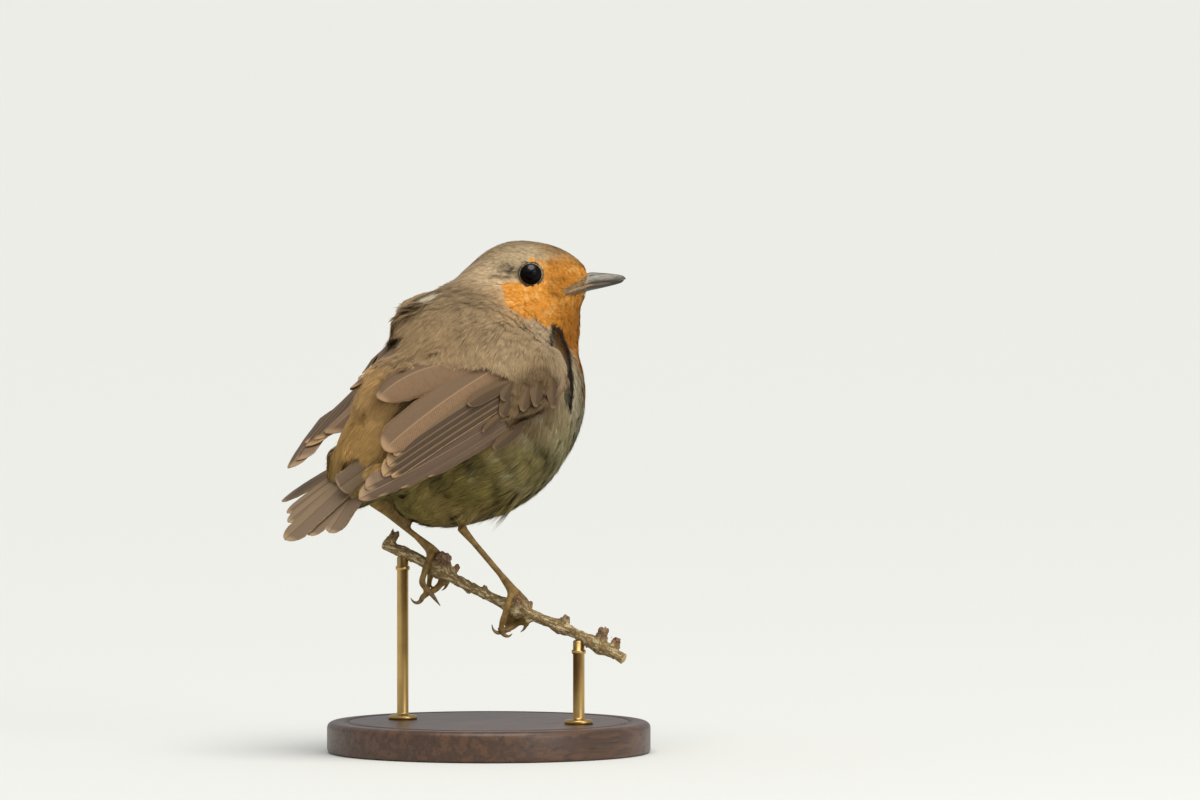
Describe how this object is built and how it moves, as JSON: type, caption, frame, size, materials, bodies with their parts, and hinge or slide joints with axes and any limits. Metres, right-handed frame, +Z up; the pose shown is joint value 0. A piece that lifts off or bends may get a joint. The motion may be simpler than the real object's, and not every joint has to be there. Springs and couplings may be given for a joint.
{
  "type": "european robin",
  "caption": "Still life-size model of a European robin with folded wings and turned head, perched on a cut twig held by a plain round display stand.",
  "frame": {"origin": "centre of the stand's underside", "axes": "+X the way the trunk faces, +Y the bird's left, +Z up; the head is turned about 47 degrees to the bird's right"},
  "size_m": [0.104, 0.084, 0.1324],
  "materials": {
    "plumage": "soft grey-brown, orange and buff plumage",
    "flight_feathers": "satin brown feather vanes with pale edges",
    "bill": "satin dark slate-brown horn",
    "eye": "polished near-black",
    "leg_skin": "scaly orange-brown skin",
    "claw": "smooth dark horn",
    "bark": "rough grey-brown larch bark",
    "stand_wood": "dark oiled walnut",
    "stand_metal": "brushed brass"
  },
  "bodies": {
    "root": {"head": "plumage", "neck": "plumage", "trunk": "plumage", "bill_upper": "bill", "bill_lower": "bill", "tail": "flight_feathers", "eye_left": "eye", "wing_left_coverts": "plumage", "wing_left_secondaries": "flight_feathers", "wing_left_primaries": "flight_feathers", "thigh_left": "plumage", "tarsus_left": "leg_skin", "foot_left": "leg_skin", "claw_left_inner": "claw", "claw_left_middle": "claw", "claw_left_outer": "claw", "claw_left_hind": "claw", "eye_right": "eye", "wing_right_coverts": "plumage", "wing_right_secondaries": "flight_feathers", "wing_right_primaries": "flight_feathers", "thigh_right": "plumage", "tarsus_right": "leg_skin", "foot_right": "leg_skin", "claw_right_inner": "claw", "claw_right_middle": "claw", "claw_right_outer": "claw", "claw_right_hind": "claw", "perch": "bark", "stand_rod_1": "stand_metal", "stand_rod_2": "stand_metal", "stand_base": "stand_wood"}
  },
  "joints": []
}
